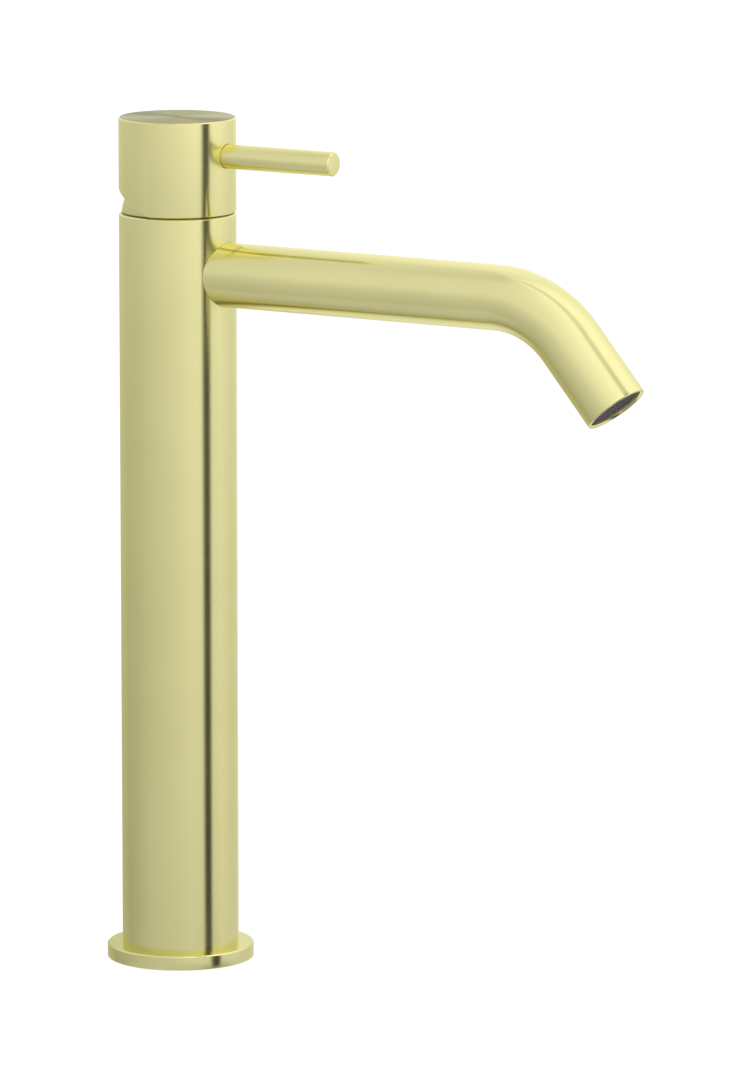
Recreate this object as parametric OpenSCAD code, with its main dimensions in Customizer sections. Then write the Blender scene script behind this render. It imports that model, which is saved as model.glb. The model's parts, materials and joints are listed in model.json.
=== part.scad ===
// Tall single-lever basin mixer: a turned brass column on a round base flange, a bent tube
// spout with a hidden aerator, and a cylindrical lever cap with a pin lever, worked by a
// 25 mm ceramic-disc cartridge. The deck is the plane z = 0, the column stands on the Z axis
// and the spout and the lever point towards -Y. Hot is on the left, at -X.

/* [Column and base] */
// Height from the deck to the top of the lever cap
total_h = 320; // [300:1:340]
// Outer diameter of the column and of the lever cap
column_d = 44; // [44:0.2:45]
// Outer diameter of the base flange
flange_d = 55.4; // [54:0.2:60]
// Thickness of the base flange
flange_h = 5.4; // [4.6:0.2:7]
// Size of the small chamfer on every outer edge
edge = 0.5; // [0.2:0.1:0.7]

/* [Spout] */
// Outer diameter of the spout tube
spout_d = 24.2; // [24.2:0.1:25]
// Drop from the top of the column to the axis of the spout
spout_drop = 22; // [21.6:0.2:24]
// Straight run of the spout, from the column axis to the start of the bend
spout_run = 137.5; // [90:0.5:170]
// Radius of the bend, at the tube's centreline
bend_r = 40.5; // [30:0.5:60]
// Angle of the bend
bend_angle = 50; // [30:1:70]
// Straight length after the bend, down to the mouth
tail_l = 30; // [20:0.5:40]

/* [Lever] */
// Height of the lever cap
cap_h = 35.4; // [35:0.2:38]
// Gap between the lever cap and the column
seam_gap = 0.6; // [0.4:0.1:0.8]
// Slope of the relief cut under the back of the cap
relief_angle = 25; // [25:1:28]
// Diameter of the pin lever
rod_d = 9.1; // [8:0.1:10]
// Distance from the column axis to the tip of the pin lever
rod_reach = 68.3; // [50:0.5:90]
// Drop from the top of the cap to the axis of the pin lever
rod_drop = 13.5; // [12:0.5:15]

/* [Hidden] */
$fn = 96;
play = 0.05;          // radial clearance of parts that are pushed or screwed together
cut = 1;              // how far a cutting tool runs past the face it opens

// Colours
satin_brass = [0.85, 0.81, 0.56];
raw_brass = [0.78, 0.66, 0.36];
copper = [0.80, 0.50, 0.34];
dark_plastic = [0.24, 0.23, 0.25];
grey_plastic = [0.62, 0.63, 0.65];
white_plastic = [0.90, 0.90, 0.87];
ceramic = [0.95, 0.94, 0.90];
steel = [0.72, 0.73, 0.75];
rubber = [0.10, 0.10, 0.10];

// Column and base
column_r = column_d / 2;
bore_r = column_r - 2;
seam_z = total_h - cap_h - seam_gap;
flange_r = flange_d / 2;
gasket_r = [22.6, 25.4];       // inner and outer radius of the base gasket
gasket_h = 1.6;
plug_r = bore_r - play;
plug_h = 30;

// Water inlets and fixing holes in the underside of the base plug
inlet_x = 9.5;
inlet_thread_r = 4.46;         // minor radius of M10x1
inlet_thread_l = 12;
stud_y = 12.5;
stud_thread_r = 2.46;          // minor radius of M6
stud_thread_l = 14;

// Riser tubes from the base plug to the valve body
riser_r = 5;
riser_bore_r = 4;
riser_bottom = 16;
riser_top = seam_z - 27;
riser_ring_z = [plug_h - 5, seam_z - 40];
riser_ring_r = riser_r + 0.77;
riser_ring_cord = 0.68;

// Valve body
valve_r = bore_r - play;
valve_bottom = seam_z - 44;
neck_r = 15.6;
neck_top = seam_z + 7.4;

// Cartridge, whose own heights are measured from its base
cart_z = seam_z - 14.5;
cart_r = 12.75;
cart_inner_r = 12.1;
shoulder_r = 13.7;
shoulder_h = [18, 19.5];
inlet_port = [7.5, -3.5];      // where the water enters, mirrored for hot and cold
inlet_port_r = 2.4;
disc_port = [4.4, -4.4];       // the same inlet at the ceramic discs
disc_port_r = 1.9;
outlet_port = [0, 1.2];
outlet_port_r = 2.2;
locating_pin = [7.6, 6.4];
base_plate_h = 3.5;
fixed_disc_h = 2.8;
moving_disc_z = base_plate_h + fixed_disc_h + play;
moving_disc_h = 2.4;
moving_disc_r = 8.4;
carrier_z = moving_disc_z + moving_disc_h;
carrier_h = 3.7;
carrier_w = 15;
cheek_bottom = carrier_z + 0.5;
turret_floor = 13.4;
turret_shoulder = 18.2;
turret_top = 24.5;
turret_r = 12;
turret_neck_r = 8.7;
pivot_h = 17.5;
pivot_z = cart_z + pivot_h;
pin_r = 1.5;
pin_l = 16;
ball_h = 11.2;
ball_r = 1.9;

// Lever stem
stem_w = 7;
stem_t = 5;
stem_foot = 14.6;
stem_square_z = seam_z + 13;
stem_top = seam_z + 29;

// Lever cap
cap_bottom = seam_z + seam_gap;
skirt_r = column_r - 0.7;
skirt_top = seam_z + 14;
cavity_r = column_r - 3;
cavity_top = total_h - 4;
boss_r = 8;
boss_bottom = seam_z + 15.5;
relief_y = -1.1;
rod_r = rod_d / 2;
rod_z = total_h - rod_drop;
rod_seat = column_r - 1.4;     // depth of the rod's seat in the cap, from the axis
arm_r = 6.4;
thread_r = 3;                  // M6 thread shared by the rod and the set screw
stud_end = 11.5;
screw_start = stem_w / 2 + play;
screw_end = stem_w / 2 + 6;
screw_key_r = 1.7;
screw_key_depth = 3;

// Spout
spout_r = spout_d / 2;
spout_z = seam_z - spout_drop;
spout_bore_r = spout_r - 1.2;
tail_r = spout_r - 0.005;       // a hair slimmer than the bend, so that the two meet cleanly
mouth_bore_r = spout_r - 1.5;
mouth_bevel = 0.7;             // chamfer inside the mouth
seat_depth = 12;               // seat of the aerator's seal, measured inwards from the mouth
seat_r = mouth_bore_r - 1.8;
seat_h = 1.6;
nipple_r = 6;
nipple_bore_r = 3.5;
nipple_end = 9;
nipple_plug_r = spout_bore_r - play;
nipple_ring_y = [12, 15.2];
nipple_ring_r = nipple_r - 0.62;
nipple_ring_cord = 0.62;

// Aerator, measured inwards from the mouth
aerator_recess = 1.3;
aerator_l = 9;
aerator_r = mouth_bore_r - play;
aerator_wall = 1.3;
aerator_disc_r = aerator_r - aerator_wall - play;
screen_h = 1.7;
jet_plate_depth = 6.5;
jet_plate_h = 1.6;
jet_r = 0.7;
jet_circle_r = 6;
strainer_h = 2.2;
strainer_wall = 0.8;

// Cartridge cover under the lever cap: part of a ball, so that the cap clears it as it tilts
cover_r = column_r - 1;
cover_ball_z = -1.8;           // centre of that ball, below the top of the column
cover_ball_r = norm([cover_r, cover_ball_z]);
cover_mouth_r = 10.5;
cover_h = 9.1;
cover_ring_z = 2.4;

// ---- shared shapes ----

// A plain ring between two radii, standing on z = 0
module ring(r_out, r_in, h) {
    difference() {
        cylinder(r = r_out, h = h);
        translate([0, 0, -cut]) cylinder(r = r_in, h = h + 2 * cut);
    }
}

// A cylinder on the Z axis, from one height to another
module cylinder_between(r, z0, z1) {
    translate([0, 0, z0]) cylinder(r = r, h = z1 - z0);
}

// A hole from z = 0 up to h, at a place in the plane
module hole(at, r, h) {
    translate([at[0], at[1], 0]) cylinder(r = r, h = h);
}

// A round rubber ring of the given centre radius and cord radius
module o_ring(r, cord) {
    rotate_extrude() translate([r, 0]) circle(r = cord);
}

// An annular groove around the Z axis, from r_in to r_out
module groove(r_out, r_in, h) {
    translate([0, 0, -h / 2]) ring(r_out, r_in, h);
}

// Its children on the left and on the right
module both_sides() {
    children();
    mirror([1, 0, 0]) children();
}

// Puts +Z along the spout's straight run, from the column axis
module along_spout() {
    translate([0, 0, spout_z]) rotate([90, 0, 0]) children();
}

// Puts +Z along the bent end, with z = 0 at the mouth and +Z pointing out of it
module at_mouth() {
    translate([0, -spout_run, spout_z - bend_r])
        rotate([bend_angle, 0, 0])
            translate([0, -tail_l, bend_r])
                rotate([90, 0, 0])
                    children();
}

// Puts +Z along the pin lever, from the column axis
module along_rod() {
    translate([0, 0, rod_z]) rotate([90, 0, 0]) children();
}

// Puts z = 0 at the base of the cartridge
module at_cartridge() {
    translate([0, 0, cart_z]) children();
}

// ---- column and base ----

module base_flange() {
    color(satin_brass)
    difference() {
        rotate_extrude() polygon([
            [bore_r, 0], [flange_r - edge / 2, 0], [flange_r, edge / 2],
            [flange_r, flange_h - edge], [flange_r - edge, flange_h], [bore_r, flange_h]
        ]);
        translate([0, 0, -cut]) ring(gasket_r[1] + play, gasket_r[0] - play, gasket_h + play + cut);
    }
}

module base_gasket() {
    color(rubber) ring(gasket_r[1], gasket_r[0], gasket_h);
}

module base_plug() {
    color(raw_brass)
    difference() {
        rotate_extrude() polygon([
            [0, 0], [plug_r, 0], [plug_r, plug_h - 1], [plug_r - 1, plug_h], [0, plug_h]
        ]);
        both_sides() {
            translate([0, 0, -cut]) hole([inlet_x, 0], inlet_thread_r, inlet_thread_l + cut);
            hole([inlet_x, 0], riser_bore_r - 0.5, riser_bottom + cut);
            translate([0, 0, riser_bottom]) hole([inlet_x, 0], riser_r + play, plug_h);
            translate([inlet_x, 0, riser_ring_z[0]]) groove(riser_r + 1.5, riser_r, 1.8);
        }
        for (y = [-stud_y, stud_y])
            translate([0, 0, -cut]) hole([0, y], stud_thread_r, stud_thread_l + cut);
    }
}

module column_tube() {
    color(satin_brass)
    difference() {
        rotate_extrude() polygon([
            [bore_r, flange_h], [column_r, flange_h], [column_r, seam_z - edge],
            [column_r - edge, seam_z], [bore_r, seam_z]
        ]);
        along_spout() cylinder(r = spout_r + play, h = column_r + cut);
    }
}

module riser() {
    color(copper)
    translate([inlet_x, 0, riser_bottom + play])
        ring(riser_r, riser_bore_r, riser_top - riser_bottom - 2 * play);
}

module hot_riser() {
    mirror([1, 0, 0]) riser();
}

module cold_riser() {
    riser();
}

module riser_o_rings() {
    color(rubber)
    both_sides()
        for (z = riser_ring_z)
            translate([inlet_x, 0, z]) o_ring(riser_ring_r, riser_ring_cord);
}

module valve_body() {
    color(raw_brass)
    difference() {
        union() {
            translate([0, 0, valve_bottom]) cylinder(r = valve_r, h = seam_z - valve_bottom);
            cylinder_between(neck_r, seam_z - cut, neck_top);
        }
        // Seat of the cartridge, and the wider bore for its shoulder and the retaining nut
        cylinder_between(cart_r + play, cart_z, neck_top + cut);
        cylinder_between(shoulder_r + 0.3, cart_z + shoulder_h[0], neck_top + cut);
        both_sides() {
            translate([0, 0, cart_z - 3]) hole(locating_pin, 1.5, 3 + cut);
            translate([0, 0, riser_top - 2]) hole(inlet_port, inlet_port_r, cart_z - riser_top + 2 + cut);
            translate([0, 0, valve_bottom - cut])
                hole([inlet_x, 0], riser_r + play, riser_top - valve_bottom + cut);
            translate([inlet_x, 0, riser_ring_z[1]]) groove(riser_r + 1.5, riser_r, 1.8);
        }
        // Outlet: down from the cartridge, then forwards to the spout nipple
        translate([0, 0, spout_z]) hole(outlet_port, outlet_port_r, cart_z - spout_z + cut);
        along_spout() {
            translate([0, 0, -outlet_port[1] - outlet_port_r])
                cylinder(r = nipple_bore_r, h = valve_r);
            translate([0, 0, nipple_end]) cylinder(r = nipple_r + play, h = valve_r);
        }
    }
}

// ---- spout ----

module spout_tube() {
    color(satin_brass)
    difference() {
        union() {
            along_spout()
                translate([0, 0, column_r / 2])
                    ring(spout_r, spout_bore_r, spout_run - column_r / 2);
            spout_bend();
            at_mouth() spout_tail();
        }
        // The end that enters the column is cut to the valve body's round side
        translate([0, 0, spout_z - 2 * spout_r]) cylinder(r = valve_r + 2 * play, h = 4 * spout_r);
    }
}

// The bend, swept a little too far and then trimmed square where the last straight begins
module spout_bend() {
    spare = 3;
    side = 3 * spout_r;
    difference() {
        translate([0, -spout_run, spout_z - bend_r])
            rotate([180, -90, 0])
                rotate_extrude(angle = bend_angle + spare)
                    translate([bend_r, 0])
                        difference() {
                            circle(r = spout_r);
                            circle(r = spout_bore_r);
                        }
        at_mouth() translate([-side / 2, -side / 2, -tail_l]) cube([side, side, 2 * spare]);
    }
}

// The straight end of the spout, with the aerator's seat inside and a softened rim
module spout_tail() {
    rotate_extrude() polygon([
        [mouth_bore_r, -tail_l], [tail_r, -tail_l], [tail_r, -edge / 2], [tail_r - edge / 2, 0],
        [mouth_bore_r + mouth_bevel, 0], [mouth_bore_r, -mouth_bevel],
        [mouth_bore_r, -seat_depth], [seat_r, -seat_depth],
        [seat_r, -seat_depth - seat_h], [mouth_bore_r, -seat_depth - 2 * seat_h]
    ]);
}

module spout_nipple() {
    color(raw_brass)
    difference() {
        along_spout() {
            cylinder_between(nipple_r, nipple_end + play, column_r);
            cylinder_between(nipple_plug_r, column_r - 0.5, column_r + 6);
        }
        along_spout() {
            cylinder(r = nipple_bore_r, h = column_r + 10);
            for (y = nipple_ring_y) translate([0, 0, y]) groove(nipple_r + cut, nipple_r - 1.3, 1.7);
        }
    }
}

module spout_o_rings() {
    color(rubber)
    along_spout()
        for (y = nipple_ring_y) translate([0, 0, y]) o_ring(nipple_ring_r, nipple_ring_cord);
}

// ---- aerator ----

module aerator_housing() {
    color(dark_plastic)
    at_mouth()
        translate([0, 0, -aerator_recess - aerator_l])
            difference() {
                ring(aerator_r, aerator_r - aerator_wall, aerator_l);
                // Four notches for the aerator key
                for (a = [0 : 90 : 270])
                    rotate(a) translate([aerator_r - 0.7, -0.8, aerator_l - 1]) cube([2, 1.6, 2]);
            }
}

// Straightening screen: a rim filled with a square grid of thin ribs
module aerator_screen() {
    pitch = 1.8;
    rib = 0.5;
    rim = 0.7;
    reach = floor(aerator_disc_r / pitch);
    color(dark_plastic)
    at_mouth()
        translate([0, 0, -aerator_recess - 0.3 - screen_h])
            linear_extrude(height = screen_h)
                intersection() {
                    circle(r = aerator_disc_r);
                    union() {
                        difference() {
                            circle(r = aerator_disc_r + cut);
                            circle(r = aerator_disc_r - rim);
                        }
                        for (i = [-reach : reach]) {
                            translate([i * pitch - rib / 2, -aerator_r]) square([rib, 2 * aerator_r]);
                            translate([-aerator_r, i * pitch - rib / 2]) square([2 * aerator_r, rib]);
                        }
                    }
                }
}

// Jet plate: one ring of small holes that break the stream up
module aerator_jet_plate() {
    jets = 12;
    color(grey_plastic)
    at_mouth()
        translate([0, 0, -aerator_recess - jet_plate_depth])
            difference() {
                cylinder(r = aerator_disc_r, h = jet_plate_h);
                for (i = [0 : jets - 1])
                    rotate(i * 360 / jets)
                        translate([jet_circle_r, 0, -cut])
                            cylinder(r = jet_r, h = jet_plate_h + 2 * cut);
            }
}

// Strainer: a shallow cup with slots, which keeps grit out of the jets
module aerator_strainer() {
    slots = 8;
    color(grey_plastic)
    at_mouth()
        translate([0, 0, -aerator_recess - aerator_l])
            difference() {
                cylinder(r = aerator_disc_r, h = strainer_h);
                translate([0, 0, strainer_wall])
                    cylinder(r = aerator_disc_r - strainer_wall, h = strainer_h);
                for (i = [0 : slots - 1])
                    rotate(i * 360 / slots) translate([2.4, -0.5, -cut]) cube([4.4, 1, 3]);
            }
}

module aerator_seal() {
    color(rubber)
    at_mouth()
        translate([0, 0, -seat_depth + play])
            ring(aerator_r, aerator_r - 1.6, seat_depth - aerator_recess - aerator_l - 2 * play);
}

// ---- cartridge ----

module cartridge_housing() {
    color(grey_plastic)
    at_cartridge()
        difference() {
            union() {
                cylinder(r = cart_r, h = shoulder_h[1]);
                cylinder_between(shoulder_r, shoulder_h[0] + play, shoulder_h[1]);
            }
            cylinder_between(cart_inner_r, -cut, turret_shoulder + play);
            cylinder_between(turret_neck_r + 0.1, 0, shoulder_h[1] + cut);
        }
}

// The slot that carries one inlet from its port to the ceramic discs
module inlet_slot(r) {
    run = disc_port - inlet_port;
    length = norm(run);
    hole(inlet_port, r, base_plate_h + cut);
    hole(disc_port, r, base_plate_h + cut);
    translate([inlet_port[0], inlet_port[1], 0])
        rotate(atan2(run[1], run[0]))
            translate([0, -r, 0])
                cube([length, 2 * r, base_plate_h + cut]);
}

module cartridge_base() {
    color(white_plastic)
    at_cartridge()
        difference() {
            union() {
                cylinder(r = cart_inner_r - play, h = base_plate_h);
                both_sides() translate([0, 0, -2.6]) hole(locating_pin, 1.4, 3);
            }
            both_sides() {
                translate([0, 0, -cut]) hole(inlet_port, disc_port_r, base_plate_h);
                translate([0, 0, 1.6]) inlet_slot(disc_port_r);
                translate([0, 0, -cut]) hole(inlet_port, inlet_port_r + 1, 1 + cut);
            }
            translate([0, 0, -cut]) hole(outlet_port, outlet_port_r, base_plate_h + 2 * cut);
            translate([0, 0, -cut]) hole(outlet_port, outlet_port_r + 1, 1 + cut);
            translate([0, 0, base_plate_h - 1]) hole(outlet_port, outlet_port_r + 0.8, 1 + cut);
        }
}

// Rubber rings around the three ports, pressed on the floor of the valve body
module cartridge_port_seals() {
    color(rubber)
    at_cartridge() {
        both_sides()
            translate([inlet_port[0], inlet_port[1], 0])
                ring(inlet_port_r + 1 - play, disc_port_r, 1 - play);
        translate([outlet_port[0], outlet_port[1], 0])
            ring(outlet_port_r + 1 - play, outlet_port_r, 1 - play);
    }
}

// Rubber ring under the fixed disc, around the outlet
module disc_seals() {
    color(rubber)
    at_cartridge()
        translate([outlet_port[0], outlet_port[1], base_plate_h - 1 + play])
            ring(outlet_port_r + 0.8 - play, outlet_port_r, 1 - play);
}

module fixed_disc() {
    color(ceramic)
    at_cartridge()
        translate([0, 0, base_plate_h])
            difference() {
                cylinder(r = cart_inner_r - 2 * play, h = fixed_disc_h);
                translate([0, 0, -cut]) {
                    both_sides() hole(disc_port, disc_port_r, fixed_disc_h + 2 * cut);
                    hole(outlet_port, outlet_port_r, fixed_disc_h + 2 * cut);
                }
            }
}

// Moving disc, with its mixing chamber underneath and two keyways on top
module moving_disc() {
    color(ceramic)
    at_cartridge()
        translate([0, 0, moving_disc_z])
            difference() {
                cylinder(r = moving_disc_r, h = moving_disc_h);
                translate([0, 0, -cut]) cylinder(r = 4, h = 1.4 + cut);
                both_sides() translate([5.4, -1.5, 1.6]) cube([1.6, 3, 1]);
            }
}

// Carrier that drags the moving disc, with the socket for the stem's ball
module disc_carrier() {
    color(white_plastic)
    at_cartridge()
        difference() {
            union() {
                intersection() {
                    cylinder_between(moving_disc_r, carrier_z + play / 2, carrier_z + carrier_h);
                    translate([-carrier_w / 2, -10, 0]) cube([carrier_w, 20, 20]);
                }
                both_sides() translate([5.5, -1.4, carrier_z - 0.7]) cube([1.4, 2.8, 1]);
            }
            cylinder_between(ball_r + 0.12, ball_h - ball_r - 0.1, carrier_z + carrier_h + cut);
        }
}

// Turret: it turns in the housing, carries the pivot pin and guides the carrier between its cheeks
module cartridge_turret() {
    gap = carrier_w + 0.2;
    color(white_plastic)
    at_cartridge()
        difference() {
            union() {
                cylinder_between(turret_r, cheek_bottom, turret_shoulder);
                cylinder_between(turret_neck_r, turret_shoulder - cut, turret_top);
            }
            translate([-gap / 2, -turret_r - cut, 0]) cube([gap, 2 * turret_r + 2 * cut, turret_floor]);
            stem_slot();
            translate([-turret_r - cut, 0, pivot_h])
                rotate([0, 90, 0]) cylinder(r = pin_r, h = 2 * turret_r + 2 * cut);
        }
}

// Room for the stem to rock from upright to fully open
module stem_slot() {
    width = stem_w + 0.2;
    rotate([90, 0, 90])
        translate([0, 0, -width / 2])
            linear_extrude(height = width)
                polygon([
                    [-4.2, turret_floor - cut], [3, turret_floor - cut], [3.2, pivot_h],
                    [6.6, turret_top + cut], [-2.8, turret_top + cut], [-3.1, pivot_h]
                ]);
}

module pivot_pin() {
    color(steel)
    at_cartridge()
        translate([-pin_l / 2, 0, pivot_h])
            rotate([0, 90, 0]) cylinder(r = pin_r - play / 2, h = pin_l);
}

module lever_stem() {
    color(steel)
    difference() {
        union() {
            at_cartridge() {
                translate([0, 0, ball_h]) sphere(r = ball_r);
                cylinder_between(1.3, ball_h, stem_foot + cut);
            }
            translate([-stem_w / 2, -stem_t / 2, cart_z + stem_foot])
                cube([stem_w, stem_t, stem_square_z - cart_z - stem_foot + cut]);
            translate([-stem_w / 2, -stem_w / 2, stem_square_z])
                cube([stem_w, stem_w, stem_top - stem_square_z]);
        }
        translate([-stem_w, 0, pivot_z])
            rotate([0, 90, 0]) cylinder(r = pin_r + play / 2, h = 2 * stem_w);
    }
}

// Ring nut that holds the cartridge down, with four slots for its key
module retaining_nut() {
    color(raw_brass)
    difference() {
        translate([0, 0, cart_z + shoulder_h[1] + play]) ring(shoulder_r + 0.25, turret_neck_r + 0.6, 2.9);
        for (a = [0 : 90 : 270])
            rotate(a) translate([turret_neck_r, -1.25, seam_z + 6.9]) cube([7, 2.5, 2]);
    }
}

// Turned cover that shows under the back of the lever cap
module cartridge_cover() {
    color(satin_brass)
    translate([0, 0, seam_z])
        difference() {
            intersection() {
                translate([0, 0, cover_ball_z]) sphere(r = cover_ball_r);
                ring(cover_r + cut, cover_mouth_r, cover_h);
            }
            translate([0, 0, -cut]) cylinder(r = neck_r + play, h = neck_top - seam_z + 0.1 + cut);
            cylinder(r = shoulder_r + 0.3, h = cover_h - 0.8);
            translate([0, 0, cover_ring_z]) groove(neck_r + 1.3, neck_r, 1.7);
        }
}

module cover_o_ring() {
    color(rubber) translate([0, 0, seam_z + cover_ring_z]) o_ring(neck_r + 0.66, 0.58);
}

// ---- lever ----

module handle_cap() {
    color(satin_brass)
    difference() {
        union() {
            difference() {
                rotate_extrude() polygon([
                    [0, cap_bottom], [column_r - edge / 2, cap_bottom], [column_r, cap_bottom + edge / 2],
                    [column_r, total_h - edge], [column_r - edge, total_h], [0, total_h]
                ]);
                cylinder_between(skirt_r, cap_bottom - cut, skirt_top);
                cylinder_between(cavity_r, skirt_top - cut, cavity_top);
            }
            cylinder_between(boss_r, boss_bottom, cavity_top + cut);
            along_rod() cylinder_between(arm_r, boss_r / 2, cavity_r + 0.5);
        }
        // Square socket for the stem
        translate([-stem_w / 2 - play, -stem_w / 2 - play, boss_bottom - cut])
            cube([stem_w + 2 * play, stem_w + 2 * play, stem_top - boss_bottom + cut + 0.3]);
        // Threaded bore for the set screw and the rod, and the rod's seat
        along_rod() {
            cylinder(r = thread_r, h = column_r);
            cylinder_between(rod_r + 0.15, rod_seat, column_r + cut);
        }
        // Relief that lets the back of the cap come down as the lever is lifted
        translate([0, relief_y, cap_bottom])
            rotate([relief_angle, 0, 0])
                translate([-column_r - cut, 0, -column_r])
                    cube([2 * column_r + 2 * cut, 2 * column_r, column_r]);
    }
}

module handle_set_screw() {
    color(steel)
    along_rod()
        difference() {
            cylinder_between(thread_r - play, screw_start, screw_end);
            translate([0, 0, screw_end - screw_key_depth])
                cylinder(r = screw_key_r, h = screw_key_depth + cut, $fn = 6);
        }
}

module lever_rod() {
    color(satin_brass)
    along_rod() {
        cylinder_between(thread_r - play, stud_end, rod_seat + cut);
        rotate_extrude() polygon([
            [0, rod_seat + play], [rod_r, rod_seat + play], [rod_r, rod_reach - edge],
            [rod_r - edge, rod_reach], [0, rod_reach]
        ]);
    }
}

base_flange();
base_gasket();
base_plug();
column_tube();
hot_riser();
cold_riser();
riser_o_rings();
valve_body();
spout_tube();
spout_nipple();
spout_o_rings();
aerator_housing();
aerator_screen();
aerator_jet_plate();
aerator_strainer();
aerator_seal();
cartridge_housing();
cartridge_base();
cartridge_port_seals();
disc_seals();
fixed_disc();
moving_disc();
disc_carrier();
cartridge_turret();
pivot_pin();
lever_stem();
retaining_nut();
cartridge_cover();
cover_o_ring();
handle_cap();
handle_set_screw();
lever_rod();
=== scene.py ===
"""Looks of the tall single-lever basin mixer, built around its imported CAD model.

Metres, +Z up, the column on the Z axis, the spout and the lever towards -Y. The visible metal
pieces are finely turned and swept meshes, made from the sizes of the CAD nodes that they stand
for. The parts inside keep their CAD meshes and get materials of their own.
"""

import json
from math import acos, asin, atan2, cos, hypot, pi, radians, sin, tan

import bmesh
import bpy
from mathutils import Matrix, Vector


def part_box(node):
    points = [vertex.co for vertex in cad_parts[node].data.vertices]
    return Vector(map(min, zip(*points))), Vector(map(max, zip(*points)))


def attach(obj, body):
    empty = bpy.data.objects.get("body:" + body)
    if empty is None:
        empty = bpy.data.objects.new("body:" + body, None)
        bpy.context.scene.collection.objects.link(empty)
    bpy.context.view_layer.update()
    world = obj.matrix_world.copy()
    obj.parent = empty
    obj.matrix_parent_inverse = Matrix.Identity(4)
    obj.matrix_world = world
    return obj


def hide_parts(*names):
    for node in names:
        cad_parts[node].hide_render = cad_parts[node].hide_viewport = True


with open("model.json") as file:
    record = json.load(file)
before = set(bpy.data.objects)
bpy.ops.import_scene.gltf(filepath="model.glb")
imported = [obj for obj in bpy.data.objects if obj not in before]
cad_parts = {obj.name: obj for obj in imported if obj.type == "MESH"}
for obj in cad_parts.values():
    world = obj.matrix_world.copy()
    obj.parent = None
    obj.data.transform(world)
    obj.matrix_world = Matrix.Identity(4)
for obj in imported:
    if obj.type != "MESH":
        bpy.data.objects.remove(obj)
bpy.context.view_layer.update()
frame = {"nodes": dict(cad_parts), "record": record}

MM = 0.001
SEGMENTS = 192          # facets round a turned or swept piece
ARC_STEPS = 3           # facets along a rounded corner
BEND_STEPS = 40         # facets along the spout's bend
BALL_STEPS = 30         # facets up the cover's ball
EDGE = 0.5 * MM         # chamfer on the outer edges
SOFT = 0.08 * MM        # rounding of the corners that look sharp
FIT = 0.05 * MM         # gap between pieces that are pushed together
SHARP_ANGLE = radians(32)


# ---- sizes: read from the frame, or those of the CAD where no node's box shows them ----

def span(node, axis):
    low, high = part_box(node)
    return low[axis], high[axis]


X, Y, Z = 0, 1, 2
column_r = span("column_tube", X)[1]
flange_r = span("base_flange", X)[1]
flange_h = span("base_flange", Z)[1]
seam_z = span("column_tube", Z)[1]
bore_r = column_r - 2 * MM      # of the column and the flange

spout_r = span("spout_tube", X)[1]
spout_z = span("spout_tube", Z)[1] - spout_r
spout_back_y = span("spout_tube", Y)[1]
spout_run = 137.5 * MM          # from the column's axis to the bend
bend_r = 40.5 * MM
bend_angle = radians(50)
tail_l = 30 * MM
spout_wall = 1.2 * MM
mouth_wall = 1.5 * MM
mouth_bevel = 0.7 * MM          # inside the rim
mouth_depth = 12 * MM           # of the wider bore that holds the aerator
rim_start = 2 * MM              # before the mouth, where the outline of the rim starts

cap_bottom, cap_top = span("handle_cap", Z)
skirt_r = column_r - 0.7 * MM
skirt_z = seam_z + 14 * MM
cavity_r = column_r - 3 * MM
cavity_z = cap_top - 4 * MM
relief_y = -1.1 * MM            # where the relief starts, at the cap's lower edge
relief_angle = radians(25)

rod_r = span("lever_rod", X)[1]
rod_z = sum(span("lever_rod", Z)) / 2
rod_reach = -span("lever_rod", Y)[0]
rod_seat = column_r - 1.4 * MM  # how far from the axis the rod starts
rod_gap = 0.15 * MM             # round the rod in its seat

cover_r = span("cartridge_cover", X)[1]
cover_top = span("cartridge_cover", Z)[1]
cover_mouth_r = 10.5 * MM
cover_inner_r = 15.7 * MM
cover_wall = 0.8 * MM
ball_z = seam_z - 1.8 * MM      # centre of the ball that the cover is part of
# height of the painted shadow band round the cover's foot
seam_shadow_h = 0.7 * MM


# ---- camera, at the photograph's viewing angle ----

CAMERA_AZIMUTH = radians(-59.294)
CAMERA_ELEVATION = radians(9.941)
CAMERA_PLACE = (-2.5048, -1.5742, 0.6781)
FOCAL_LENGTH = 266.0
SENSOR_WIDTH = 36.0


def camera():
    azimuth, elevation = CAMERA_AZIMUTH, CAMERA_ELEVATION
    back = Vector((sin(azimuth) * cos(elevation), -cos(azimuth) * cos(elevation), sin(elevation)))
    right = Vector((cos(azimuth), sin(azimuth), 0))
    rotation = Matrix((right, back.cross(right), back)).transposed()
    data = bpy.data.cameras.new("photo_camera")
    data.lens = FOCAL_LENGTH
    data.sensor_width = SENSOR_WIDTH
    data.clip_end = 100
    cam = bpy.data.objects.new("photo_camera", data)
    cam.matrix_world = Matrix.Translation(CAMERA_PLACE) @ rotation.to_4x4()
    bpy.context.scene.collection.objects.link(cam)
    bpy.context.scene.camera = cam


camera()


# ---- mesh tools ----

def rounded(points, closed=True):
    """The outline through points (a, b, radius), where a corner with a radius becomes an arc."""
    out = []
    count = len(points)
    for i, (a, b, radius) in enumerate(points):
        here = Vector((a, b))
        if radius <= 0 or (not closed and i in (0, count - 1)):
            out.append(here)
            continue
        before = (Vector(points[i - 1][:2]) - here).normalized()
        after = (Vector(points[(i + 1) % count][:2]) - here).normalized()
        half = acos(max(-1.0, min(1.0, before.dot(after)))) / 2
        reach = radius / tan(half)
        centre = here + (before + after).normalized() * radius / sin(half)
        start, end = here + before * reach - centre, here + after * reach - centre
        turn = atan2(start.x * end.y - start.y * end.x, start.dot(end))
        for k in range(ARC_STEPS + 1):
            angle = turn * k / ARC_STEPS
            out.append(centre + Matrix.Rotation(angle, 2) @ start)
    return out


def new_object(name, mesh):
    obj = bpy.data.objects.new(name, mesh)
    bpy.context.scene.collection.objects.link(obj)
    return obj


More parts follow.
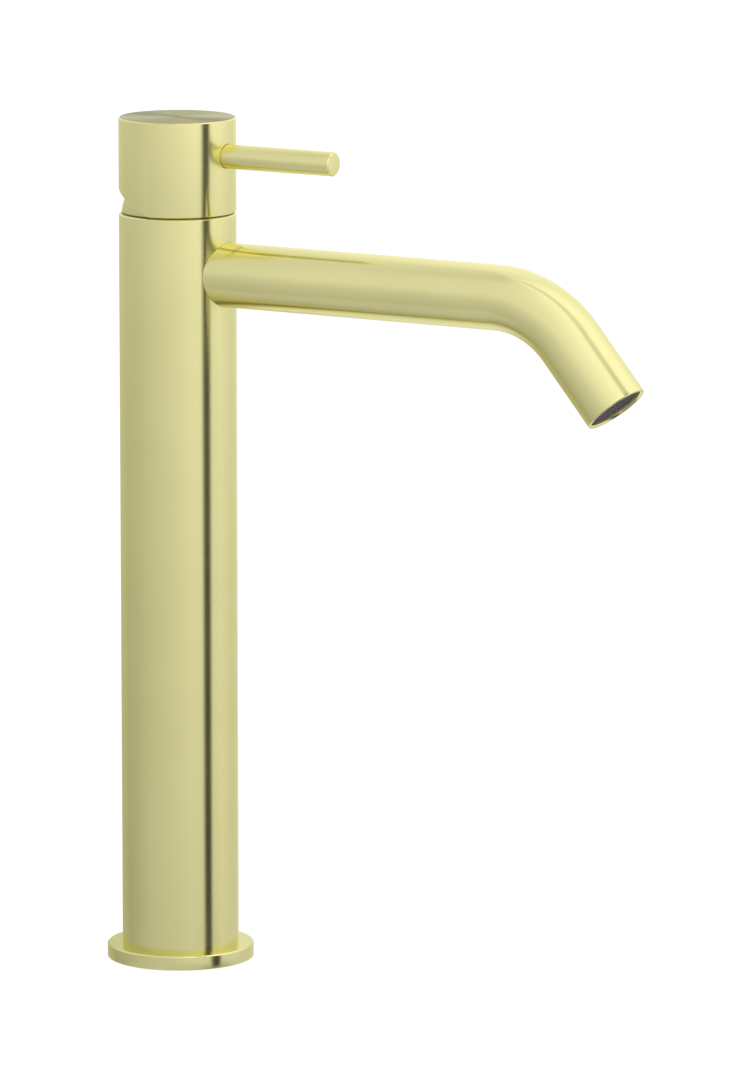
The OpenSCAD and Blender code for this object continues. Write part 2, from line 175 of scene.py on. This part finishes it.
def chamfered(radius, height, size):
    """The corners of a chamfer on the outer edge at (radius, height), from the side to the face."""
    return [(radius, height - size, SOFT), (radius - size, height, SOFT)]


def skin(name, rings, lengths, closed, materials, slots):
    """A mesh from rings of points, with the last ring joined to the first where it is closed. Its
    UV map holds the turn round the ring, from 0 to 1, and the distance along the outline, in
    metres."""
    mesh = bpy.data.meshes.new(name)
    count = len(rings[0])
    verts = [p for ring in rings for p in ring]
    faces, coords, picks = [], [], []
    strips = len(rings) if closed else len(rings) - 1
    for i in range(strips):
        j = (i + 1) % len(rings)
        for k in range(count):
            m = (k + 1) % count
            faces.append((i * count + k, i * count + m, j * count + m, j * count + k))
            coords += [(k / count, lengths[i]), ((k + 1) / count, lengths[i]),
                       ((k + 1) / count, lengths[i + 1]), (k / count, lengths[i + 1])]
            picks.append(slots[i])
    mesh.from_pydata(verts, [], faces)
    layer = mesh.uv_layers.new(name="grain")
    for loop, uv in zip(layer.data, coords):
        loop.uv = uv
    for material in materials:
        mesh.materials.append(material)
    for face, pick in zip(mesh.polygons, picks):
        face.material_index = pick
    weld_and_face_out(mesh)
    return new_object(name, mesh)


def weld_and_face_out(mesh):
    bm = bmesh.new()
    bm.from_mesh(mesh)
    bmesh.ops.remove_doubles(bm, verts=bm.verts, dist=1e-7)
    bmesh.ops.dissolve_degenerate(bm, edges=bm.edges, dist=1e-8)
    bmesh.ops.recalc_face_normals(bm, faces=bm.faces)
    bm.to_mesh(mesh)
    bm.free()
    smooth(mesh)


def smooth(mesh):
    mesh.shade_smooth()
    mesh.set_sharp_from_angle(angle=SHARP_ANGLE)


def along(points, closed):
    """The distance along an outline at each of its points, and back at the first if closed."""
    lengths = [0.0]
    ends = points[1:] + points[:1] if closed else points[1:]
    for a, b in zip(points, ends):
        lengths.append(lengths[-1] + (b - a).length)
    return lengths


def turned(name, outline, materials, axis=Matrix.Identity(4), closed=True, pick=None):
    """A lathe piece: an outline of (radius, height) turned round the Z axis of the frame axis.
    pick says which material a stretch of the outline gets, from its middle (radius, height)."""
    rings = []
    for point in outline:
        ring = []
        for k in range(SEGMENTS):
            angle = 2 * pi * k / SEGMENTS
            ring.append(axis @ Vector((point.x * cos(angle), point.x * sin(angle), point.y)))
        rings.append(ring)
    ends = outline[1:] + outline[:1]
    slots = [pick((a + b) / 2) if pick else 0 for a, b in zip(outline, ends)]
    return skin(name, rings, along(outline, closed), closed, materials, slots)


def cut(obj, tool):
    """Takes tool out of obj for good, and removes the tool."""
    modifier = obj.modifiers.new("cut", "BOOLEAN")
    modifier.operation = "DIFFERENCE"
    modifier.solver = "EXACT"
    modifier.object = tool
    bpy.context.view_layer.update()
    evaluated = obj.evaluated_get(bpy.context.evaluated_depsgraph_get())
    result = bpy.data.meshes.new_from_object(evaluated)
    obj.modifiers.clear()
    obj.data = result
    bpy.data.objects.remove(tool)
    smooth(obj.data)


def forward_from(z):
    """A frame whose Z axis points to -Y, from the column's axis at height z."""
    return Matrix.Translation((0, 0, z)) @ Matrix.Rotation(pi / 2, 4, "X")


def drill(radius, start, z):
    """A round cutting tool towards -Y at height z, from start to well past the column."""
    end = 2 * column_r
    outline = [Vector((0, start)), Vector((radius, start)), Vector((radius, end)), Vector((0, end))]
    return turned("drill", outline, [brushed], forward_from(z), closed=False)


def block_under(point, tilt):
    """A big cutting block whose upper side is the plane through point that rises at tilt to +Y."""
    size = 4 * column_r
    mesh = bpy.data.meshes.new("block")
    bm = bmesh.new()
    bmesh.ops.create_cube(bm, size=size)
    bmesh.ops.translate(bm, vec=(0, size / 2, -size / 2), verts=bm.verts)
    place = Matrix.Translation(point) @ Matrix.Rotation(tilt, 4, "X")
    bmesh.ops.transform(bm, matrix=place, verts=bm.verts)
    bm.to_mesh(mesh)
    bm.free()
    return new_object("block", mesh)


# ---- materials ----

def node_tree(name):
    material = bpy.data.materials.new(name)
    material.use_nodes = True
    tree = material.node_tree
    return material, tree, tree.nodes["Principled BSDF"]


def add(tree, kind, **settings):
    node = tree.nodes.new(kind)
    for key, value in settings.items():
        setattr(node, key, value)
    return node


def math_node(tree, operation, a, b=None):
    node = add(tree, "ShaderNodeMath", operation=operation)
    for i, value in enumerate((a, b)):
        if value is None:
            continue
        if isinstance(value, (int, float)):
            node.inputs[i].default_value = value
        else:
            tree.links.new(value, node.inputs[i])
    return node.outputs[0]


def grain_place(tree):
    """From the grain UV map: the angle round the piece, in radians, and the distance along it."""
    uv = add(tree, "ShaderNodeUVMap", uv_map="grain")
    parts = add(tree, "ShaderNodeSeparateXYZ")
    tree.links.new(uv.outputs[0], parts.inputs[0])
    return math_node(tree, "MULTIPLY", parts.outputs[0], 2 * pi), parts.outputs[1]


def wrapped_coords(tree, across, around):
    """Coordinates without a seam: the turn becomes a circle of radius around, and the distance
    is scaled by across."""
    turn, distance = grain_place(tree)
    joined = add(tree, "ShaderNodeCombineXYZ")
    for i, operation in enumerate(("COSINE", "SINE")):
        wave = math_node(tree, operation, turn)
        tree.links.new(math_node(tree, "MULTIPLY", wave, around), joined.inputs[i])
    tree.links.new(math_node(tree, "MULTIPLY", distance, across), joined.inputs[2])
    return joined.outputs[0]


def noise(tree, coords, scale, detail=3.0):
    node = add(tree, "ShaderNodeTexNoise")
    node.inputs["Scale"].default_value = scale
    node.inputs["Detail"].default_value = detail
    node.inputs["Roughness"].default_value = 0.55
    tree.links.new(coords, node.inputs["Vector"])
    return node.outputs[0]


def ramp(tree, value, low, high, start=0.3, end=0.7):
    """Maps value from the range start to end to the range low to high. Most noise lies between
    0.3 and 0.7."""
    node = add(tree, "ShaderNodeMapRange")
    for key, number in (("From Min", start), ("From Max", end), ("To Min", low), ("To Max", high)):
        node.inputs[key].default_value = number
    tree.links.new(value, node.inputs["Value"])
    return node.outputs[0]


def tint(tree, value, low, high):
    """A colour between low and high, picked by value."""
    node = add(tree, "ShaderNodeMix", data_type="RGBA")
    node.inputs[6].default_value = (*low, 1)
    node.inputs[7].default_value = (*high, 1)
    tree.links.new(value, node.inputs[0])
    return node.outputs[2]


def blend(tree, mode, factor, a, b):
    """Colour a with b laid over it by factor. Each of the three is a number or a socket."""
    node = add(tree, "ShaderNodeMix", data_type="RGBA", blend_type=mode)
    for socket, value in ((0, factor), (6, a), (7, b)):
        if isinstance(value, (int, float)):
            node.inputs[socket].default_value = value
        else:
            tree.links.new(value, node.inputs[socket])
    return node.outputs[2]


def bump(tree, shader, height, strength, distance):
    node = add(tree, "ShaderNodeBump")
    node.inputs["Strength"].default_value = strength
    node.inputs["Distance"].default_value = distance
    tree.links.new(height, node.inputs["Height"])
    tree.links.new(node.outputs[0], shader.inputs["Normal"])


def off_painted_streak(tree):
    """0 on the line that runs forwards and back through the piece's axis, and growing to both
    sides of it. The further from the axis, the wider the streak. It lays out a painted
    reflection: a dark streak across a flat turned face."""
    place = add(tree, "ShaderNodeSeparateXYZ")
    tree.links.new(add(tree, "ShaderNodeTexCoord").outputs["Object"], place.inputs[0])
    x, y = (math_node(tree, "ABSOLUTE", place.outputs[i]) for i in (X, Y))
    middle = 5 * MM  # without it the streak would come to a point on the axis
    return math_node(tree, "DIVIDE", x, math_node(tree, "ADD", y, middle))


def satin_brass(name, light, dark, roughness, anisotropy, grain=1.0, painted_streak=1.0):
    """Pale brass, brushed round the piece: fine lines, soft patches and a cloudy tint. A
    painted_streak under 1 is the shade of a painted reflection: a dark streak across a flat
    turned face, along the line through its axis."""
    material, tree, shader = node_tree(name)
    fine = noise(tree, wrapped_coords(tree, across=9000, around=9), scale=1.0, detail=4)
    cloud = noise(tree, wrapped_coords(tree, across=18, around=0.5), scale=1.6, detail=2)
    colour = tint(tree, ramp(tree, cloud, 0, 1), dark, light)
    # painted reflection: the dark streak is multiplied into the base colour
    if painted_streak < 1:
        shade = ramp(tree, off_painted_streak(tree), painted_streak, 1.0, start=0.03, end=0.5)
        colour = blend(tree, "MULTIPLY", 1.0, colour, shade)
    tree.links.new(colour, shader.inputs["Base Color"])
    line_spread = 0.045 * grain
    patch_spread = 0.015
    lines = ramp(tree, fine, -line_spread, line_spread)
    patches = ramp(tree, cloud, roughness - patch_spread, roughness + patch_spread)
    tree.links.new(math_node(tree, "ADD", lines, patches), shader.inputs["Roughness"])
    bump(tree, shader, fine, 0.10 * grain, 0.004 * MM)
    tangent = add(tree, "ShaderNodeTangent", direction_type="UV_MAP", uv_map="grain")
    tree.links.new(tangent.outputs[0], shader.inputs["Tangent"])
    shader.inputs["Metallic"].default_value = 1.0
    shader.inputs["Specular Tint"].default_value = (1.0, 1.0, 0.82, 1)
    shader.inputs["Anisotropic"].default_value = anisotropy
    shader.inputs["Anisotropic Rotation"].default_value = 0.25
    return material


def plain_metal(name, low, high, roughness, scale):
    """Machined or drawn metal on a CAD mesh, with fine turning lines across Z."""
    material, tree, shader = node_tree(name)
    coords = add(tree, "ShaderNodeTexCoord").outputs["Object"]
    lines = add(tree, "ShaderNodeMapping")
    around = scale / 20
    lines.inputs["Scale"].default_value = (around, around, scale)
    tree.links.new(coords, lines.inputs["Vector"])
    fine = noise(tree, lines.outputs[0], 1.0)
    cloud = noise(tree, coords, 60)
    spread = 0.08
    tree.links.new(tint(tree, ramp(tree, cloud, 0, 1), low, high), shader.inputs["Base Color"])
    uneven = ramp(tree, fine, roughness - spread, roughness + spread)
    tree.links.new(uneven, shader.inputs["Roughness"])
    bump(tree, shader, fine, 0.2, 0.01 * MM)
    shader.inputs["Metallic"].default_value = 1.0
    return material


def moulded(name, low, high, roughness, scale=900, depth=0.02, gloss=0.5):
    """Moulded plastic, rubber or ceramic, with a fine grain and slightly uneven gloss. depth is
    the grain's, in millimetres."""
    material, tree, shader = node_tree(name)
    coords = add(tree, "ShaderNodeTexCoord").outputs["Object"]
    fine = noise(tree, coords, scale, detail=4)
    cloud = noise(tree, coords, scale / 12)
    spread = 0.06
    tree.links.new(tint(tree, ramp(tree, cloud, 0, 1), low, high), shader.inputs["Base Color"])
    uneven = ramp(tree, cloud, roughness - spread, roughness + spread)
    tree.links.new(uneven, shader.inputs["Roughness"])
    bump(tree, shader, fine, 0.3, depth * MM)
    shader.inputs["Specular IOR Level"].default_value = gloss
    return material


BRASS = (0.83, 0.785, 0.385)
BRASS_DARK = (0.80, 0.755, 0.365)
brushed = satin_brass("satin_brass", BRASS, BRASS_DARK, 0.165, 0.6)
brushed_foot = satin_brass("satin_brass_foot", BRASS, BRASS_DARK, 0.13, 0.2)
# The cap's top face: a much darker copy of the brass as painted shade, with the painted reflection
# streak
brushed_face_painted_shade = satin_brass("satin_brass_face_painted_shade", (0.39, 0.362, 0.195), (0.34, 0.317, 0.17),
                           0.34, 0.7, grain=1.6, painted_streak=0.40)
# Painted shade: a darker copy of the brass for the cover dome, which sits under the cap
brushed_cover_painted_shade = satin_brass("satin_brass_cover_painted_shade", (0.66, 0.62, 0.30), (0.62, 0.585, 0.28), 0.22, 0.5)
# Painted shadow: near-black brass for the foot of the cover, where the seam is in shade
seam_painted_shadow = satin_brass("satin_brass_seam_painted_shadow", (0.16, 0.14, 0.05), (0.12, 0.10, 0.04), 0.30, 0.5)

# The CAD nodes' materials, by the material slot in the record
INSIDE = {
    "raw_brass": plain_metal("raw_brass", (0.60, 0.42, 0.16), (0.70, 0.50, 0.20), 0.32, 4000),
    "copper": plain_metal("copper", (0.60, 0.27, 0.14), (0.72, 0.34, 0.20), 0.30, 900),
    "steel": plain_metal("steel", (0.50, 0.51, 0.53), (0.60, 0.61, 0.63), 0.30, 4000),
    "rubber": moulded("rubber", (0.012, 0.012, 0.013), (0.022, 0.022, 0.024), 0.62),
    "dark_plastic": moulded("dark_plastic", (0.085, 0.075, 0.085), (0.115, 0.100, 0.110), 0.60,
                            gloss=0.2),
    "grey_plastic": moulded("grey_plastic", (0.30, 0.31, 0.33), (0.38, 0.39, 0.41), 0.42),
    "white_plastic": moulded("white_plastic", (0.74, 0.74, 0.70), (0.82, 0.82, 0.78), 0.38),
    "ceramic": moulded("ceramic", (0.80, 0.79, 0.74), (0.88, 0.87, 0.83), 0.18, 400, 0.002),
    "satin_brass": plain_metal("satin_brass_inside", BRASS_DARK, BRASS, 0.28, 4000),
}


def finish_cad_nodes():
    """Every CAD node gets the material of its own slot in the record."""
    for part in frame["record"]["subparts"]:
        node = frame["nodes"][part["node"]]
        node.data.materials.clear()
        node.data.materials.append(INSIDE[part["material_slot"]])


finish_cad_nodes()


# ---- visible pieces ----

def stand_for(piece, body, node):
    """Hands the looks of a CAD node over to piece, which moves with body."""
    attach(piece, body)
    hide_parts(node)


def foot_flange():
    outline = rounded([
        (bore_r, 0, 0), (flange_r - EDGE / 2, 0, SOFT), (flange_r, EDGE / 2, SOFT),
        *chamfered(flange_r, flange_h, EDGE), (bore_r, flange_h, 0),
    ])
    piece = turned("foot_flange", outline, [brushed_foot])
    stand_for(piece, "mixer_body", "base_flange")


def column_shell():
    outline = rounded([
        (bore_r, flange_h, 0), (column_r, flange_h, 0),
        *chamfered(column_r, seam_z, EDGE), (bore_r, seam_z, SOFT),
    ])
    piece = turned("column_shell", outline, [brushed])
    cut(piece, drill(spout_r + FIT, 0, spout_z))
    stand_for(piece, "mixer_body", "column_tube")


def spout_path():
    """The spout's centreline: (point, direction) pairs from the column to the mouth."""
    forward = Vector((0, -1, 0))
    bend_start = Vector((0, -spout_run, spout_z))
    path = [(Vector((0, spout_back_y, spout_z)), forward), (bend_start, forward)]
    centre = bend_start - Vector((0, 0, bend_r))
    for k in range(1, BEND_STEPS + 1):
        a = bend_angle * k / BEND_STEPS
        path.append((centre + Vector((0, -sin(a), cos(a))) * bend_r, Vector((0, -cos(a), -sin(a)))))
    point, direction = path[-1]
    path.append((point + direction * tail_l, direction))
    return path


def spout_pipe():
    """The bent tube as one swept skin: out along the outside, round the rim, back along the bore."""
    path = spout_path()
    mouth, out = path.pop()
    mouth_r = spout_r - mouth_wall
    rim = rounded([
        (spout_r, -rim_start, 0), *chamfered(spout_r, 0, EDGE / 2), (mouth_r + mouth_bevel, 0, SOFT),
        (mouth_r, -mouth_bevel, SOFT), (mouth_r, -mouth_depth, 0),
    ], closed=False)
    sections = [(point, direction, spout_r) for point, direction in path]
    sections += [(mouth + out * q.y, out, q.x) for q in rim]
    sections += [(point, direction, spout_r - spout_wall) for point, direction in reversed(path)]
    side = Vector((1, 0, 0))
    rings, lengths = [], [0.0]
    for point, direction, radius in sections:
        up = side.cross(direction)
        ring = []
        for k in range(SEGMENTS):
            angle = 2 * pi * k / SEGMENTS
            ring.append(point + (side * cos(angle) + up * sin(angle)) * radius)
        rings.append(ring)
    for (a, _, a_radius), (b, _, b_radius) in zip(sections, sections[1:]):
        lengths.append(lengths[-1] + (b - a).length + abs(b_radius - a_radius))
    lengths.append(lengths[-1] + spout_wall)
    piece = skin("spout_pipe", rings, lengths, True, [brushed], [0] * len(rings))
    stand_for(piece, "mixer_body", "spout_tube")


def lever_cap():
    outline = rounded([
        (0, cavity_z, 0), (cavity_r, cavity_z, 0), (cavity_r, skirt_z, 0), (skirt_r, skirt_z, 0),
        (skirt_r, cap_bottom, 0), (column_r - EDGE / 2, cap_bottom, SOFT),
        (column_r, cap_bottom + EDGE / 2, SOFT), *chamfered(column_r, cap_top, EDGE), (0, cap_top, 0),
    ], closed=False)
    # the top face gets the darker brass of painted shade and its painted reflection streak
    piece = turned("lever_cap", outline, [brushed, brushed_face_painted_shade], closed=False,
                   pick=lambda q: 1 if q.y > cap_top - SOFT / 2 else 0)
    cut(piece, drill(rod_r + rod_gap, rod_seat, rod_z))
    cut(piece, block_under((0, relief_y, cap_bottom), relief_angle))
    stand_for(piece, "lever", "handle_cap")


def pin_lever():
    outline = rounded([
        (0, rod_seat + FIT, 0), (rod_r, rod_seat + FIT, 0),
        *chamfered(rod_r, rod_reach, EDGE), (0, rod_reach, 0),
    ], closed=False)
    piece = turned("pin_lever", outline, [brushed], forward_from(rod_z), closed=False)
    stand_for(piece, "lever", "lever_rod")


def cover_dome():
    """Part of a ball, with a painted shadow round its foot: a dark band where it shows in the seam.
    """
    ball_r = hypot(cover_r, seam_z - ball_z)
    start, end = asin((seam_z - ball_z) / ball_r), asin((cover_top - ball_z) / ball_r)
    outline = [Vector((cover_inner_r, seam_z))]
    for k in range(BALL_STEPS + 1):
        a = start + (end - start) * k / BALL_STEPS
        outline.append(Vector((ball_r * cos(a), ball_z + ball_r * sin(a))))
    under = cover_top - cover_wall
    outline += [Vector((cover_mouth_r, cover_top)), Vector((cover_mouth_r, under)),
                Vector((cover_inner_r, under))]
    piece = turned("cover_dome", outline, [brushed_cover_painted_shade, seam_painted_shadow],
                   pick=lambda q: 1 if q.x > cover_inner_r and q.y < seam_z + seam_shadow_h else 0)
    stand_for(piece, "mixer_body", "cartridge_cover")


foot_flange()
column_shell()
spout_pipe()
lever_cap()
pin_lever()
cover_dome()


# ---- floor and light ----

FLOOR_R = 6
TENT_R = 0.6

# The tent, as (angle in degrees, level, warmth) stops. Angles round it start at the camera and
# grow towards the spout; heights run from -90 to 90.
WALLS = [
    (-180, 0.60, 0.2), (-165, 0.46, 0.2), (-135, 0.48, 0.2), (-118, 0.44, 0.12), (-90, 0.49, 0.06),
    (-60, 0.585, 0.03), (-30, 0.64), (0, 0.70), (20, 0.75), (75, 0.75), (90, 0.78), (120, 0.70),
    (150, 0.67), (165, 0.75), (180, 0.80),
]
DOME = [
    (-180, 1.00), (-165, 0.91), (-110, 0.87), (-75, 0.80), (-30, 0.91), (0, 1.01), (35, 1.19),
    (90, 1.24), (125, 1.06), (165, 1.10), (180, 1.02),
]
TABLE = [
    (-180, 0.94), (-155, 0.80), (-125, 0.39), (-105, 0.43), (-80, 0.61), (-30, 0.70), (30, 0.5),
    (45, 0.25), (75, 0.25), (90, 0.6), (180, 0.94),
]
# How much of the dome and of the table shows at a height, and how the dome fades at the top
DOME_SHARE = [(-30, 0.0), (-15, 0.13), (5, 0.38), (15, 0.70), (28, 1.0)]
TABLE_SHARE = [(-38, 1.0), (-26, 0.0)]
FADE = [(62, 1.0), (88, 0.85)]
# The dark gap between two walls, which is narrower at its foot, and how much of it shows
GAP = [(46, 1.0), (53, 0.08), (62, 0.08), (69, 1.0)]
GAP_SHARE = [(-28.5, 0.0), (-25.5, 1.0), (22, 1.0), (32, 0.8), (43, 0.3), (60, 0.3), (90, 0.4)]
GAP_FOOT = [(48, 1.0), (54, 0.08), (62, 0.08), (68, 1.0)]
GAP_FOOT_SHARE = [(-33, 0.0), (-31, 1.0), (-26.5, 1.0), (-25, 0.0)]


def staged(name, mesh, material, **visibility):
    """A piece of the studio, which isn't part of the mixer."""
    mesh.materials.append(material)
    obj = new_object(name, mesh)
    for kind, seen in visibility.items():
        setattr(obj, "visible_" + kind, seen)
    return obj


def floor():
    """White floor that takes a faint contact shadow and keeps out of the metal's reflections."""
    mesh = bpy.data.meshes.new("floor")
    bm = bmesh.new()
    bmesh.ops.create_circle(bm, cap_ends=True, radius=FLOOR_R, segments=96)
    bm.to_mesh(mesh)
    bm.free()
    material, tree, shader = node_tree("pale_floor")
    shader.inputs["Base Color"].default_value = (0.30, 0.30, 0.30, 1)
    shader.inputs["Roughness"].default_value = 0.9
    shader.inputs["Specular IOR Level"].default_value = 0.0
    shader.inputs["Emission Color"].default_value = (1, 1, 1, 1)
    shader.inputs["Emission Strength"].default_value = 0.78
    staged("floor", mesh, material, glossy=False)


def angle_share(tree, angle, turn):
    """An angle in radians, from minus half a turn to half a turn, as a share from 0 to 1."""
    return math_node(tree, "ADD", math_node(tree, "MULTIPLY", angle, 1 / turn), 0.5)


def level_ramp(tree, share, half, stops):
    """Brightness over an angle from -half to half, through (angle, level, warmth) stops. Warmth
    is the share of blue that is missing, and may be left out."""
    node = add(tree, "ShaderNodeValToRGB")
    elements = node.color_ramp.elements
    elements.remove(elements[-1])
    for i, (angle, level, *warmth) in enumerate(stops):
        place = (angle + half) / (2 * half)
        stop = elements[0] if i == 0 else elements.new(place)
        stop.position = place
        stop.color = (level, level, level * (1 - sum(warmth)), 1)
    tree.links.new(share, node.inputs[0])
    return node.outputs[0]


def tent_cloth():
    """Glowing cloth: walls that turn into a dome higher up and a table lower down, with a gap."""
    material = bpy.data.materials.new("tent_cloth")
    material.use_nodes = True
    material.cycles.emission_sampling = "NONE"
    tree = material.node_tree
    tree.nodes.clear()
    unit = add(tree, "ShaderNodeVectorMath", operation="NORMALIZE")
    tree.links.new(add(tree, "ShaderNodeTexCoord").outputs["Object"], unit.inputs[0])
    parts = add(tree, "ShaderNodeSeparateXYZ")
    tree.links.new(unit.outputs[0], parts.inputs[0])
    turn = math_node(tree, "ARCTAN2", parts.outputs[1], parts.outputs[0])
    turn_share = angle_share(tree, turn, 2 * pi)
    height_share = angle_share(tree, math_node(tree, "ARCSINE", parts.outputs[2]), pi)

    def round_tent(stops):
        return level_ramp(tree, turn_share, 180, stops)

    def up_tent(stops):
        return level_ramp(tree, height_share, 90, stops)

    cloth = blend(tree, "MIX", up_tent(DOME_SHARE), round_tent(WALLS), round_tent(DOME))
    cloth = blend(tree, "MIX", up_tent(TABLE_SHARE), cloth, round_tent(TABLE))
    cloth = blend(tree, "MULTIPLY", 1.0, cloth, up_tent(FADE))
    cloth = blend(tree, "MULTIPLY", up_tent(GAP_SHARE), cloth, round_tent(GAP))
    cloth = blend(tree, "MULTIPLY", up_tent(GAP_FOOT_SHARE), cloth, round_tent(GAP_FOOT))
    glow = add(tree, "ShaderNodeEmission")
    tree.links.new(cloth, glow.inputs["Color"])
    output = add(tree, "ShaderNodeOutputMaterial")
    tree.links.new(glow.outputs[0], output.inputs["Surface"])
    return material


def light_tent():
    """The white tent round the mixer, seen only in its reflections."""
    mesh = bpy.data.meshes.new("light_tent")
    bm = bmesh.new()
    bmesh.ops.create_uvsphere(bm, u_segments=96, v_segments=48, radius=TENT_R)
    bm.to_mesh(mesh)
    bm.free()
    mesh.shade_smooth()
    obj = staged("light_tent", mesh, tent_cloth(), camera=False, diffuse=False, shadow=False,
                 transmission=False, volume_scatter=False)
    obj.location = (0, 0, cap_top / 2)
    obj.rotation_euler = (0, 0, CAMERA_AZIMUTH - pi / 2)


def studio_light():
    """An even white surround, for the floor and the parts that aren't polished."""
    world = bpy.data.worlds.new("studio")
    world.use_nodes = True
    background = world.node_tree.nodes["Background"]
    background.inputs["Color"].default_value = (1, 1, 1, 1)
    background.inputs["Strength"].default_value = 1.0
    bpy.context.scene.world = world


floor()
light_tent()
studio_light()
bpy.context.scene.view_settings.view_transform = "Standard"
